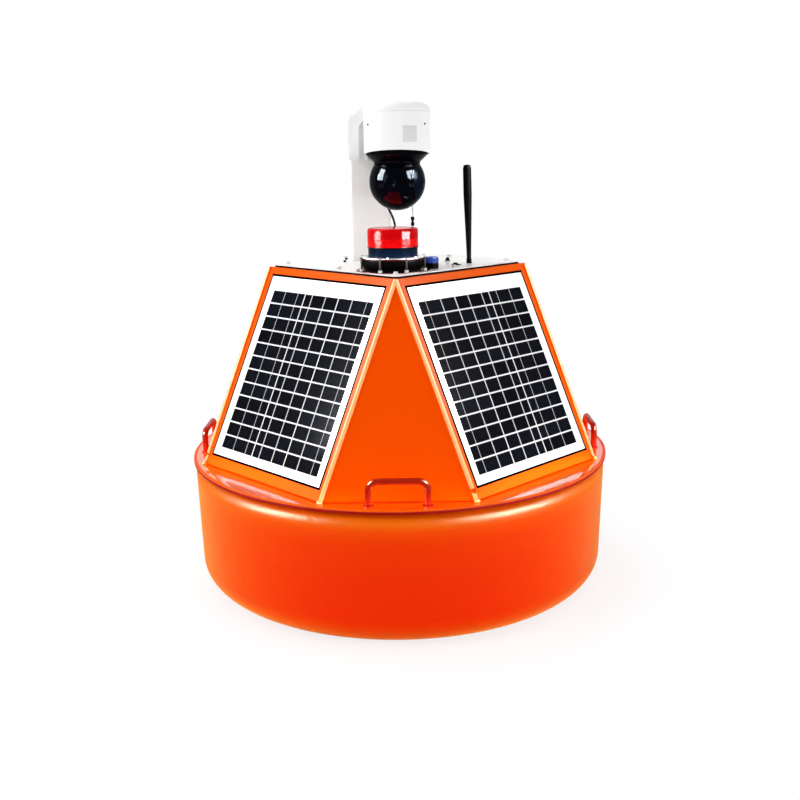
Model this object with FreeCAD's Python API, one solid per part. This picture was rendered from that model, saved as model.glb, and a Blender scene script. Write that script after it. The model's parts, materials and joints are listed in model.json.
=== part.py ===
"""Water quality monitoring buoy: foam float, solar cabin, camera mast, lantern and sensor well.

Millimetres, +Z up, origin at the centre of the float's flat underside.  One corner of the square
cabin points along -Y, so its four solar faces look along the diagonals.
"""
import FreeCAD
import Part
import os
from math import atan2, cos, degrees, hypot, pi, radians, sin, sqrt, tan

from FreeCAD import Placement, Rotation, Vector

# ---- float, deck and sensor well ---------------------------------------------------------------
FLOAT_R = 603.0
FLOAT_DRAFT = 6.0
FLOAT_H = 368.0
FLOAT_BOTTOM_ROUND = 76.0
FLOAT_SHOULDER_ROUND = 34.0
RECESS_R = 300.0
RECESS_DEPTH = 48.0
DECK_T = 9.0
DECK_LIP = 4.0
WELL_R = 110.0
WELL_WALL = 3.0
WELL_FIT = 1.0
WELL_END_Z = 14.0
WELL_FLANGE_R = 150.0
WELL_FLANGE_T = 8.0
WELL_CAP_T = 12.0
MOORING_PLATE_R = 285.0
MOORING_PLATE_T = 10.0
EYE_COUNT = 3
EYE_ORBIT_R = 215.0
EYE_T = 14.0
EYE_W = 70.0
EYE_GROUND_GAP = 6.0
EYE_HOLE_R = 9.0
EYE_HOLE_Z = 20.0

# ---- sonde in the well ---------------------------------------------------------------------------
SONDE_R = 44.0
SONDE_Z = 150.0
SONDE_TOP_Z = 345.0
SONDE_STEM_R = 16.0
GUARD_WALL = 4.0
GUARD_Z = 24.0
GUARD_SLOTS = 6
GUARD_SLOT_W = 26.0
GUARD_SOCKET = 18.0
PROBE_COUNT = 5
PROBE_R = 9.0
PROBE_ORBIT_R = 25.0
PROBE_LENGTH = 78.0

# ---- cabin -----------------------------------------------------------------------------------------
CABIN_H = 530.0
CABIN_TOP_HALF = 257.0
CABIN_BASE_HALF = 526.0
FACE_BASE_HALF_W = 250.0
CABIN_WALL = 5.0
BEAD_R = 6.5
BEAD_SINK = 2.5
BEAD_FOOT_R = 9.0
HATCH_HALF = 215.0
GASKET_T = 5.0
TOP_PLATE_HALF = 250.0
TOP_PLATE_T = 3.0
TOP_PLATE_CORNER = 14.0
BATTERY_SIZE = (340.0, 300.0, 170.0)

# ---- solar panels ----------------------------------------------------------------------------------
PANEL_W = 456.0
PANEL_H = 531.0
PANEL_FROM_BASE = 38.0
PANEL_T = 4.0
PANEL_PROUD = 0.5
PANEL_SEAL_W = 6.0
CELL_SIDE_MARGIN = 22.0
CELL_TOP_MARGIN = 40.0
CELL_BOTTOM_MARGIN = 21.5
CELL_SHIFT = 4.0
CELL_T = 0.6

# ---- lifting handles -------------------------------------------------------------------------------
HANDLE_ORBIT_R = 569.0
HANDLE_SPAN = 147.0
HANDLE_RISE = 63.0
HANDLE_ROD_R = 8.5
HANDLE_BEND_R = 24.0
HANDLE_PAD_R = 13.0
HANDLE_PAD_T = 2.0

# ---- mast and camera bracket -----------------------------------------------------------------------
MAST_X = -70.0
MAST_BEHIND_DOME = 7.5
MAST_W = 110.0
MAST_D = 60.0
MAST_WALL = 4.0
MAST_H = 399.0
MAST_FOOT_W = 176.0
MAST_FOOT_D = 100.0
MAST_FOOT_T = 5.0
BRACKET_X = -68.5
BRACKET_W = 112.0
BRACKET_D = 56.0
BRACKET_Z = 283.0
BRACKET_H = 131.0
BRACKET_CHAMFER = 30.0
BRACKET_RIM_W = 28.0
BRACKET_GROOVE_W = 16.0
BRACKET_GROOVE_D = 16.0
BRACKET_SILL = 4.0

# ---- camera ----------------------------------------------------------------------------------------
DOME_X = 6.0
DOME_Y = -115.0
HOUSING_R = 87.5
HOUSING_TOP_Z = 427.0
HOUSING_ROUND = 24.0
HOUSING_RIM_Z = 298.0
HOUSING_RIM_SLOPE = 6.7
HOUSING_RIM_WALL = 3.0
HOUSING_CEILING_Z = 312.5
PAN_GAP = 1.7
PAN_DISC_Z = 308.5
PAN_DISC_T = 14.0
NECK_Z = 276.0
NECK_WALL = 6.8
SPINDLE_R = 20.0
SPINDLE_H = 22.0
BALL_Z = 225.0
BALL_R = 75.0
BALL_HALF_W = 54.0
CHEEK_GAP = 1.2
YOKE_CLEARANCE = 2.5
TRUNNION_R = 9.0
TRUNNION_LENGTH = 10.0
RUNNING_GAP = 0.3
WINDOW_R = 38.0
WINDOW_DEPTH = 17.0
WINDOW_SEAM = 0.5
PAN_AT_REST = -16.0

# ---- lantern, antenna and service socket -----------------------------------------------------------
LANTERN_X = -7.5
LANTERN_Y = -212.0
LANTERN_FOOT_R = 72.0
LANTERN_BASE_R = 87.0
LANTERN_BASE_H = 31.0
LANTERN_BOWL_H = 17.0
LANTERN_FLANGE_R = 88.0
LANTERN_FLANGE_T = 5.5
LANTERN_BODY_R = 65.5
LANTERN_BODY_H = 25.0
LANTERN_LENS_R = 67.0
LANTERN_LENS_H = 48.5
LANTERN_LENS_WALL = 4.0
LANTERN_LENS_ROUND = 7.0
LANTERN_CORE_R = 32.0
ANTENNA_X = 203.3
ANTENNA_Y = -60.0
ANTENNA_BASE_R = 7.5
ANTENNA_BASE_H = 12.0
ANTENNA_FOOT_R = 6.0
ANTENNA_CLUB_R = 11.5
ANTENNA_TOP_R = 11.3
ANTENNA_TOP_Z = 262.5
ANTENNA_CLUB_AT = 0.7
ANTENNA_LEAN = 1.5
SOCKET_X = 94.5
SOCKET_Y = -182.0
SOCKET_R = 19.5
SOCKET_H = 15.5
SOCKET_CAP_R = 19.0
SOCKET_CAP_H = 15.0

# ---- glands and leads ------------------------------------------------------------------------------
GLAND_HEX = 16.0
GLAND_HEX_H = 7.0
GLAND_NUT_R = 7.0
GLAND_H = 17.0
CABLE_D = 6.0
LEAD_D = 3.0
LEAD_ANGLE = 64.7
LEAD_STANDOFF = 7.0
LEAD_BOSS_R = 6.0
LEAD_BOSS_Z = 320.0
LEAD_BOSS_H = 20.0
LEAD_GLAND_R = 6.0
LEAD_GLAND_H = 12.0
CONNECTOR_R = 5.0
CONNECTOR_WAIST_R = 3.2
CONNECTOR_L = 25.0
CONNECTOR_Z = 103.0
# The camera cable's way from the bracket's gland down to the top plate's, above the top plate.
CABLE_WAY = ((-49, -31, 266), (-49, -31, 236), (-44, -35, 205), (-33, -43, 176), (-19, -52, 150),
             (-9, -55, 130), (-3, -57, 111), (-1, -58, 88), (1, -60, 55), (1, -60, 17))

# ---- derived places --------------------------------------------------------------------------------
DECK_Z = FLOAT_H + DECK_T
CABIN_TOP_Z = DECK_Z + CABIN_H
PLATE_Z = CABIN_TOP_Z + GASKET_T + TOP_PLATE_T
FACE_LEAN = atan2(CABIN_H, CABIN_BASE_HALF - CABIN_TOP_HALF)
WELL_BORE_R = WELL_R + WELL_FIT
WELL_CAP_Z = DECK_Z + WELL_FLANGE_T
BATTERY_Z = WELL_CAP_Z + WELL_CAP_T
POCKET_DEPTH = PANEL_T - PANEL_PROUD
MOORING_PLATE_Z = RECESS_DEPTH - MOORING_PLATE_T
MAST_FRONT_Y = DOME_Y + HOUSING_R + MAST_BEHIND_DOME
LEAD_X = DOME_X + (HOUSING_R + LEAD_STANDOFF) * cos(radians(LEAD_ANGLE))
LEAD_Y = DOME_Y + (HOUSING_R + LEAD_STANDOFF) * sin(radians(LEAD_ANGLE))
CHEEK_HALF_W = BALL_HALF_W + CHEEK_GAP
NECK_R = CHEEK_HALF_W + NECK_WALL
FACE_NAMES = ("front_right", "back_right", "back_left", "front_left")
SIDE_NAMES = ("front", "right", "back", "left")
UP = Vector(0, 0, 1)
ORIGIN = Vector(0, 0, 0)
BIG = 2000.0

nodes = {}


# ---- shape helpers ---------------------------------------------------------------------------------
def outline(corners, plane="XZ"):
    """A face through (u, v) or (u, v, radius) corners, each corner rounded by its radius."""
    def place(u, v):
        return Vector(u, 0, v) if plane == "XZ" else Vector(u, v, 0)

    joins = []
    for index, corner in enumerate(corners):
        here = place(*corner[:2])
        back = (place(*corners[index - 1][:2]) - here).normalize()
        ahead = (place(*corners[(index + 1) % len(corners)][:2]) - here).normalize()
        radius = corner[2] if len(corner) > 2 else 0
        if not radius:
            joins.append((here, None, here))
            continue
        half_turn = back.getAngle(ahead) / 2
        inward = (back + ahead).normalize()
        reach = radius / tan(half_turn)
        middle = here + inward * (radius / sin(half_turn) - radius)
        joins.append((here + back * reach, middle, here + ahead * reach))
    edges = []
    for index, (start, middle, end) in enumerate(joins):
        if middle is not None:
            edges.append(Part.Arc(start, middle, end).toShape())
        next_start = joins[(index + 1) % len(joins)][0]
        if (next_start - end).Length > 1e-6:
            edges.append(Part.LineSegment(end, next_start).toShape())
    return Part.Face(Part.Wire(edges))


def revolved(corners):
    return outline(corners).revolve(ORIGIN, UP, 360)


def slab(corners, z, height):
    """The outline in the XY plane, made into a plate from z up."""
    return outline(corners, "XY").extrude(UP * height).translated(UP * z)


def disc(radius, z, height):
    return Part.makeCylinder(radius, height, UP * z)


def block(width, depth, height, z=0.0, x=0.0, y=0.0):
    """A box centred on (x, y), from z up."""
    return Part.makeBox(width, depth, height, Vector(x - width / 2, y - depth / 2, z))


def square(half, corner=0.0):
    return [(-half, -half, corner), (half, -half, corner), (half, half, corner), (-half, half, corner)]


def rectangle(x0, x1, z0, z1, corner=0.0):
    return [(x0, z0, corner), (x1, z0, corner), (x1, z1, corner), (x0, z1, corner)]


def hexagon(across_flats):
    radius = across_flats / sqrt(3)
    return [(radius * cos(k * pi / 3), radius * sin(k * pi / 3)) for k in range(6)]


def turned(shape, angle, axis=UP, about=ORIGIN):
    copy = shape.copy()
    copy.rotate(about, axis, angle)
    return copy


def ring_of(shape, count, first=0.0):
    """Copies of a shape, evenly spaced about the Z axis."""
    return [turned(shape, first + index * 360 / count) for index in range(count)]


def half_space(normal, distance):
    """Everything on the far side of the plane at this distance along the normal."""
    direction = Vector(*normal).normalize()
    box = block(BIG * 2, BIG * 2, BIG)
    box.Placement = Placement(direction * distance, Rotation(UP, direction)).multiply(box.Placement)
    return box


def tube_along(points, radius):
    """A round tube of straight runs joined by tangent arcs, and its bend radii."""
    path = [Vector(*point) for point in points]
    edges = []
    radii = []
    start = path[0]
    for before, here, after in zip(path, path[1:], path[2:]):
        back = (before - here).normalize()
        ahead = (after - here).normalize()
        half_angle = back.getAngle(ahead) / 2
        reach = 0.45 * min((before - here).Length, (after - here).Length)
        bend = reach * tan(half_angle)
        middle = here + (back + ahead).normalize() * (bend / sin(half_angle) - bend)
        edges.append(Part.LineSegment(start, here + back * reach).toShape())
        edges.append(Part.Arc(here + back * reach, middle, here + ahead * reach).toShape())
        start = here + ahead * reach
        radii.append(round(bend))
    edges.append(Part.LineSegment(start, path[-1]).toShape())
    wire = Part.Wire(edges)
    section = Part.Wire(Part.makeCircle(radius, path[0], path[1] - path[0]))
    tube = wire.makePipeShell([section], True, False)
    expected = wire.Length * pi * radius ** 2
    print("tube %.1f long, volume ratio %.4f, bend radii %s" % (wire.Length, tube.Volume / expected, radii))
    return tube


def add(name, *solids):
    nodes[name] = solids[0] if len(solids) == 1 else Part.makeCompound(list(solids))


# ---- float, deck and sensor well ---------------------------------------------------------------
def make_float():
    deck_r = FLOAT_R + DECK_LIP
    add("float_hull", revolved([
        (WELL_BORE_R, RECESS_DEPTH), (RECESS_R, RECESS_DEPTH, 10), (RECESS_R, 0, 12),
        (FLOAT_R - FLOAT_DRAFT, 0, FLOAT_BOTTOM_ROUND), (FLOAT_R, FLOAT_H, FLOAT_SHOULDER_ROUND),
        (WELL_BORE_R, FLOAT_H)]))
    add("deck_plate", revolved([
        (WELL_BORE_R, FLOAT_H), (deck_r, FLOAT_H, DECK_T * 0.3), (deck_r, DECK_Z, DECK_T * 0.5),
        (WELL_BORE_R, DECK_Z)]))


def make_mooring():
    plate = revolved([
        (WELL_BORE_R, MOORING_PLATE_Z), (MOORING_PLATE_R, MOORING_PLATE_Z, 2),
        (MOORING_PLATE_R, RECESS_DEPTH), (WELL_BORE_R, RECESS_DEPTH)])
    add("mooring_plate", plate)
    eye = outline([
        (EYE_ORBIT_R - EYE_W / 2, MOORING_PLATE_Z), (EYE_ORBIT_R - EYE_W / 2, EYE_GROUND_GAP, 20),
        (EYE_ORBIT_R + EYE_W / 2, EYE_GROUND_GAP, 20), (EYE_ORBIT_R + EYE_W / 2, MOORING_PLATE_Z)])
    eye = eye.extrude(Vector(0, EYE_T, 0)).translated(Vector(0, -EYE_T / 2, 0))
    hole = Part.makeCylinder(EYE_HOLE_R, EYE_T * 2, Vector(EYE_ORBIT_R, -EYE_T, EYE_HOLE_Z), Vector(0, 1, 0))
    add("mooring_eyes", *ring_of(eye.cut(hole), EYE_COUNT, 90))


def make_well():
    inner_r = WELL_R - WELL_WALL
    add("well_tube", revolved([
        (inner_r, WELL_END_Z), (WELL_R, WELL_END_Z), (WELL_R, DECK_Z), (WELL_FLANGE_R, DECK_Z),
        (WELL_FLANGE_R, WELL_CAP_Z), (inner_r, WELL_CAP_Z)]))
    add("well_cap", disc(WELL_FLANGE_R, WELL_CAP_Z, WELL_CAP_T))


def make_sonde():
    shoulder = SONDE_R * 0.3
    body = revolved([
        (0, SONDE_Z), (SONDE_R, SONDE_Z), (SONDE_R, SONDE_TOP_Z, shoulder),
        (SONDE_STEM_R, SONDE_TOP_Z), (SONDE_STEM_R, WELL_CAP_Z), (0, WELL_CAP_Z)])
    add("sonde_body", body)
    guard_r = SONDE_R + RUNNING_GAP + GUARD_WALL
    guard = revolved([
        (SONDE_R + RUNNING_GAP, GUARD_Z), (guard_r, GUARD_Z, 2), (guard_r, SONDE_Z + GUARD_SOCKET, 2),
        (SONDE_R + RUNNING_GAP, SONDE_Z + GUARD_SOCKET)])
    slot_h = SONDE_Z - GUARD_Z - 2 * GUARD_SLOT_W / 2 - 12
    slot = outline(rectangle(-GUARD_SLOT_W / 2, GUARD_SLOT_W / 2, GUARD_Z + GUARD_SLOT_W / 2,
                             GUARD_Z + GUARD_SLOT_W / 2 + slot_h, GUARD_SLOT_W * 0.45))
    slot = slot.extrude(Vector(0, guard_r * 1.2, 0))
    for cutter in ring_of(slot, GUARD_SLOTS):
        guard = guard.cut(cutter)
    add("sonde_guard", guard)
    probe = revolved([
        (0, SONDE_Z - PROBE_LENGTH), (PROBE_R, SONDE_Z - PROBE_LENGTH, 3), (PROBE_R, SONDE_Z), (0, SONDE_Z)])
    add("sonde_probes", *ring_of(probe.translated(Vector(PROBE_ORBIT_R, 0, 0)), PROBE_COUNT))


# ---- cabin and its solar faces ---------------------------------------------------------------------
def cabin_form(inset):
    """The cabin's closed outer form, or the same with every wall moved in by the inset."""
    corner_rise = (CABIN_BASE_HALF + FACE_BASE_HALF_W - 2 * CABIN_TOP_HALF) / CABIN_H
    solar_normal = Vector(0, -sin(FACE_LEAN), cos(FACE_LEAN))
    corner_normal = Vector(1, -1, corner_rise)
    solar_distance = CABIN_BASE_HALF * sin(FACE_LEAN)
    corner_distance = (CABIN_BASE_HALF + FACE_BASE_HALF_W) / corner_normal.Length
    form = block(BIG, BIG, CABIN_H - inset)
    for quarter in range(4):
        for normal, distance in ((solar_normal, solar_distance), (corner_normal, corner_distance)):
            form = form.cut(turned(half_space(normal, distance - inset), quarter * 90))
    return form


def edge_bead(side):
    """The rounded bead down one slanting edge of the front solar face, with its foot."""
    top = Vector(side * CABIN_TOP_HALF, -CABIN_TOP_HALF, CABIN_H)
    base = Vector(side * FACE_BASE_HALF_W, -CABIN_BASE_HALF, 0)
    inward = Vector(-side * 0.4, 0.8, -0.3).normalize() * BEAD_SINK
    run = top - base
    start = base + inward - (top - base).normalize() * 2 * BEAD_R
    rod = Part.makeCylinder(BEAD_R, run.Length + 4 * BEAD_R, start, run)
    foot = Part.makeSphere(BEAD_FOOT_R, base + inward + UP * 0.3 * BEAD_FOOT_R)
    return rod.fuse(foot)


def on_face(shape, quarter):
    """Lay a shape from a flat sheet (X across, Y up the slope, Z out) onto one solar face."""
    laid = turned(shape, degrees(FACE_LEAN), Vector(1, 0, 0))
    laid.translate(Vector(0, -CABIN_BASE_HALF, 0))
    return on_cabin(laid, quarter)


def on_cabin(shape, quarter=0):
    """Turn a shape from the cabin's own square axes to its place on the deck."""
    return turned(shape, 45 + quarter * 90).translated(UP * DECK_Z)


def panel_sheet(margin, z0, z1):
    """A flat sheet of the panel's size with its edges moved out by a margin."""
    width = PANEL_W + 2 * margin
    height = PANEL_H + 2 * margin
    return Part.makeBox(width, height, z1 - z0, Vector(-width / 2, PANEL_FROM_BASE - margin, z0))


def cell_sheet(shift):
    """The flat sheet of cells on a panel, moved sideways by the shift."""
    width = PANEL_W - 2 * CELL_SIDE_MARGIN
    height = PANEL_H - CELL_TOP_MARGIN - CELL_BOTTOM_MARGIN
    corner = Vector(shift - width / 2, PANEL_FROM_BASE + CELL_BOTTOM_MARGIN, PANEL_PROUD - CELL_T)
    return Part.makeBox(width, height, CELL_T, corner)


def make_cabin():
    shell = cabin_form(0)
    bounds = block(BIG, BIG, CABIN_H)
    for quarter in range(4):
        for side in (-1, 1):
            shell = shell.fuse(turned(edge_bead(side).common(bounds), quarter * 90))
    shell = shell.cut(cabin_form(CABIN_WALL))
    shell = shell.cut(block(2 * HATCH_HALF, 2 * HATCH_HALF, CABIN_H))
    shell = on_cabin(shell.removeSplitter())
    pocket = panel_sheet(PANEL_SEAL_W, -POCKET_DEPTH, 40)
    for quarter in range(4):
        shell = shell.cut(on_face(pocket, quarter))
    add("cabin_shell", shell)
    gasket = slab(square(TOP_PLATE_HALF, TOP_PLATE_CORNER), CABIN_H, GASKET_T)
    gasket = gasket.cut(block(2 * HATCH_HALF, 2 * HATCH_HALF, BIG))
    add("top_gasket", on_cabin(gasket))
    plate = slab(square(TOP_PLATE_HALF, TOP_PLATE_CORNER), CABIN_H + GASKET_T, TOP_PLATE_T)
    add("top_plate", on_cabin(plate))
    add("battery_pack", block(*BATTERY_SIZE, z=BATTERY_Z))


def make_panels():
    laminate = panel_sheet(0, -POCKET_DEPTH, PANEL_PROUD)
    seal = panel_sheet(PANEL_SEAL_W, -POCKET_DEPTH, 0).cut(laminate)
    for quarter, name in enumerate(FACE_NAMES):
        cells = cell_sheet(CELL_SHIFT if quarter % 2 else -CELL_SHIFT)
        add("solar_panel_" + name, on_face(laminate.cut(cells), quarter))
        add("solar_cells_" + name, on_face(cells, quarter))
    add("panel_seals", *[on_face(seal, quarter) for quarter in range(4)])


# ---- lifting handles -------------------------------------------------------------------------------
def make_handles():
    half = HANDLE_SPAN / 2
    foot_z = DECK_Z + HANDLE_PAD_T
    bar_z = DECK_Z + HANDLE_RISE
    lift = HANDLE_BEND_R * (1 - sqrt(0.5))
    start = Vector(-half, 0, foot_z)
    points = (start, Vector(-half, 0, bar_z - HANDLE_BEND_R),
              Vector(-half + lift, 0, bar_z - lift), Vector(-half + HANDLE_BEND_R, 0, bar_z),
              Vector(half - HANDLE_BEND_R, 0, bar_z), Vector(half - lift, 0, bar_z - lift),
              Vector(half, 0, bar_z - HANDLE_BEND_R), Vector(half, 0, foot_z))
    edges = [Part.LineSegment(points[0], points[1]), Part.Arc(*points[1:4]),
             Part.LineSegment(points[3], points[4]), Part.Arc(*points[4:7]),
             Part.LineSegment(points[6], points[7])]
    path = Part.Wire([edge.toShape() for edge in edges])
    section = Part.Wire(Part.makeCircle(HANDLE_ROD_R, start, UP))
    handle = path.makePipeShell([section], True, False)
    for side in (-1, 1):
        handle = handle.fuse(Part.makeCylinder(HANDLE_PAD_R, HANDLE_PAD_T, Vector(side * half, 0, DECK_Z)))
    handle = handle.translated(Vector(0, -HANDLE_ORBIT_R, 0))
    for quarter, name in enumerate(SIDE_NAMES):
        add("lifting_handle_" + name, turned(handle, quarter * 90))


# ---- mast, bracket and camera ----------------------------------------------------------------------
def on_plate(shape, x=0.0, y=0.0):
    return shape.translated(Vector(x, y, PLATE_Z))


def make_mast():
    mid_y = MAST_FRONT_Y + MAST_D / 2
    tube = slab(rectangle(-MAST_W / 2, MAST_W / 2, -MAST_D / 2, MAST_D / 2, 6), 0, MAST_H)
    inside_h = MAST_H - MAST_FOOT_T - MAST_WALL
    inside = block(MAST_W - 2 * MAST_WALL, MAST_D - 2 * MAST_WALL, inside_h, MAST_FOOT_T)
    half_w = MAST_FOOT_W / 2
    half_d = MAST_FOOT_D / 2
    foot = slab(rectangle(-half_w, half_w, -half_d, half_d, 8), 0, MAST_FOOT_T)
    add("mast", on_plate(tube.fuse(foot).cut(inside), MAST_X, mid_y))


def make_bracket():
    left = BRACKET_X - BRACKET_W / 2
    right = left + BRACKET_W
    top = BRACKET_Z + BRACKET_H
    front_y = MAST_FRONT_Y - BRACKET_D
    body = outline([(left, BRACKET_Z, 4), (right, BRACKET_Z, 4), (right, top, 6),
                    (left + BRACKET_CHAMFER, top, 14), (left, top - BRACKET_CHAMFER, 14)])
    body = body.extrude(Vector(0, BRACKET_D, 0)).translated(Vector(0, front_y, 0))
    groove_x = left + BRACKET_RIM_W
    groove_top = top - BRACKET_CHAMFER + BRACKET_SILL
    groove = outline([(groove_x, BRACKET_Z + BRACKET_SILL, 3),
                      (groove_x + BRACKET_GROOVE_W, BRACKET_Z + BRACKET_SILL, 3),
                      (groove_x + BRACKET_GROOVE_W, groove_top, 2),
                      (groove_x, groove_top - BRACKET_GROOVE_W, 3)])
    groove = groove.extrude(Vector(0, BRACKET_GROOVE_D, 0)).translated(Vector(0, front_y, 0))
    shell_gap = Part.makeCylinder(HOUSING_R + RUNNING_GAP, BIG, Vector(DOME_X, DOME_Y, 0))
    add("camera_bracket", on_plate(body.cut(groove).cut(shell_gap)))


def on_dome(shape, rest_turn=PAN_AT_REST):
    """Place a shape made about the camera's own vertical axis, turned to its rest heading."""
    return on_plate(turned(shape, rest_turn), DOME_X, DOME_Y)


def make_housing():
    rim_drop = HOUSING_R * tan(HOUSING_RIM_SLOPE * pi / 180)
    low = HOUSING_RIM_Z - 2 * rim_drop
    inner_r = HOUSING_R - HOUSING_RIM_WALL
    body = revolved([
        (0, low), (HOUSING_R, low), (HOUSING_R, HOUSING_TOP_Z, HOUSING_ROUND), (0, HOUSING_TOP_Z)])
    body = body.cut(disc(inner_r, low, HOUSING_CEILING_Z - low))
    body = body.cut(disc(SPINDLE_R + RUNNING_GAP, low, PAN_DISC_Z + SPINDLE_H + 1 - low))
    below = block(BIG, BIG, BIG, -BIG).translated(UP * HOUSING_RIM_Z)
    body = body.cut(turned(below, -HOUSING_RIM_SLOPE, Vector(1, 0, 0), UP * HOUSING_RIM_Z))
    boss_x = LEAD_X - DOME_X
    boss_y = LEAD_Y - DOME_Y
    boss = Part.makeCylinder(LEAD_BOSS_R, LEAD_BOSS_H, Vector(boss_x, boss_y, LEAD_BOSS_Z))
    angle = degrees(atan2(boss_y, boss_x))
    bridge = Part.makeBox(hypot(boss_x, boss_y) - inner_r, 2 * LEAD_BOSS_R, LEAD_BOSS_H,
                          Vector(inner_r, -LEAD_BOSS_R, LEAD_BOSS_Z))
    add("camera_housing", on_dome(body.fuse(boss).fuse(turned(bridge, angle)), 0))


def make_camera_head():
    disc_r = HOUSING_R - HOUSING_RIM_WALL - PAN_GAP
    slot = block(2 * CHEEK_HALF_W, BIG, BIG, BALL_Z - BIG / 2)
    yoke = revolved([
        (0, BALL_Z), (NECK_R, BALL_Z), (NECK_R, NECK_Z, 8), (disc_r, PAN_DISC_Z - PAN_DISC_T),
        (disc_r, PAN_DISC_Z, 2), (SPINDLE_R, PAN_DISC_Z), (SPINDLE_R, PAN_DISC_Z + SPINDLE_H),
        (0, PAN_DISC_Z + SPINDLE_H)])
    yoke = yoke.fuse(Part.makeSphere(BALL_R, UP * BALL_Z))
    yoke = yoke.cut(slot.common(Part.makeSphere(BALL_R + YOKE_CLEARANCE, UP * BALL_Z)))
    reach = BALL_HALF_W + TRUNNION_LENGTH
    across = Vector(1, 0, 0)
    bore_end = Vector(-reach - RUNNING_GAP, 0, BALL_Z)
    bore = Part.makeCylinder(TRUNNION_R + RUNNING_GAP, 2 * reach + 2 * RUNNING_GAP, bore_end, across)
    add("camera_yoke", on_dome(yoke.cut(bore)))

    ball = Part.makeSphere(BALL_R, UP * BALL_Z).common(block(2 * BALL_HALF_W, BIG, BIG, BALL_Z - BIG / 2))
    ball = ball.fuse(Part.makeCylinder(TRUNNION_R, 2 * reach, Vector(-reach, 0, BALL_Z), across))
    window_back = Vector(0, WINDOW_DEPTH - BALL_R, BALL_Z)
    seat = Part.makeCylinder(WINDOW_R + WINDOW_SEAM, BALL_R, window_back, Vector(0, -1, 0))
    window = Part.makeCylinder(WINDOW_R, BALL_R, window_back, Vector(0, -1, 0))
    add("camera_ball", on_dome(ball.cut(seat)))
    add("camera_window", on_dome(window.common(Part.makeSphere(BALL_R, UP * BALL_Z))))


# ---- lantern, antenna and service socket -----------------------------------------------------------
def make_lantern():
    flange_z = LANTERN_BASE_H
    body_z = flange_z + LANTERN_FLANGE_T
    lens_z = body_z + LANTERN_BODY_H
    lens_top = lens_z + LANTERN_LENS_H
    inner_r = LANTERN_LENS_R - LANTERN_LENS_WALL
    inner_top = lens_top - LANTERN_LENS_WALL
    pieces = {
        "lantern_base": [(0, 0), (LANTERN_FOOT_R, 0), (LANTERN_BASE_R, LANTERN_BOWL_H, 14),
                         (LANTERN_BASE_R, flange_z, 2), (0, flange_z)],
        "lantern_flange": [(0, flange_z), (LANTERN_FLANGE_R, flange_z, 1.5), (LANTERN_FLANGE_R, body_z, 1.5),
                           (0, body_z)],
        "lantern_body": [(0, body_z), (LANTERN_BODY_R, body_z), (LANTERN_BODY_R, lens_z), (0, lens_z)],
        "lantern_lens": [(inner_r, lens_z), (LANTERN_LENS_R, lens_z, 1),
                         (LANTERN_LENS_R, lens_top, LANTERN_LENS_ROUND), (0, lens_top), (0, inner_top),
                         (inner_r, inner_top, LANTERN_LENS_WALL)],
        "lantern_core": [(0, lens_z), (LANTERN_CORE_R, lens_z), (LANTERN_CORE_R, inner_top - 6, 2),
                         (0, inner_top - 6)],
    }
    for name, corners in pieces.items():
        add(name, on_plate(revolved(corners), LANTERN_X, LANTERN_Y))


def make_antenna():
    taper_z = ANTENNA_BASE_H + (ANTENNA_TOP_Z - ANTENNA_BASE_H) * ANTENNA_CLUB_AT
    whip = revolved([
        (0, ANTENNA_BASE_H), (ANTENNA_FOOT_R, ANTENNA_BASE_H), (ANTENNA_CLUB_R, taper_z, 400),
        (ANTENNA_TOP_R, ANTENNA_TOP_Z, 6), (0, ANTENNA_TOP_Z)])
    base = revolved([
        (0, -ANTENNA_BASE_H), (ANTENNA_BASE_R, -ANTENNA_BASE_H), (ANTENNA_BASE_R, ANTENNA_BASE_H, 2),
        (0, ANTENNA_BASE_H)])
    lean = Vector(0, 1, 0)
    standing = turned(base, -ANTENNA_LEAN, lean).cut(block(BIG, BIG, BIG, -BIG))
    add("antenna_base", on_plate(standing, ANTENNA_X, ANTENNA_Y))
    add("antenna", on_plate(turned(whip, -ANTENNA_LEAN, lean), ANTENNA_X, ANTENNA_Y))


def make_socket():
    add("service_socket", on_plate(revolved([
        (0, 0), (SOCKET_R, 0), (SOCKET_R, SOCKET_H, 2), (0, SOCKET_H)]), SOCKET_X, SOCKET_Y))
    add("socket_cap", on_plate(revolved([
        (0, SOCKET_H), (SOCKET_CAP_R, SOCKET_H), (SOCKET_CAP_R, SOCKET_H + SOCKET_CAP_H, 3),
        (0, SOCKET_H + SOCKET_CAP_H)]), SOCKET_X, SOCKET_Y))


# ---- glands and leads ------------------------------------------------------------------------------
def gland():
    """A cable gland standing up from the XY plane: hexagon, then a round nut."""
    nut = revolved([(0, GLAND_HEX_H), (GLAND_NUT_R, GLAND_HEX_H), (GLAND_NUT_R, GLAND_H, 3), (0, GLAND_H)])
    return slab(hexagon(GLAND_HEX), 0, GLAND_HEX_H).fuse(nut)


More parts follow.
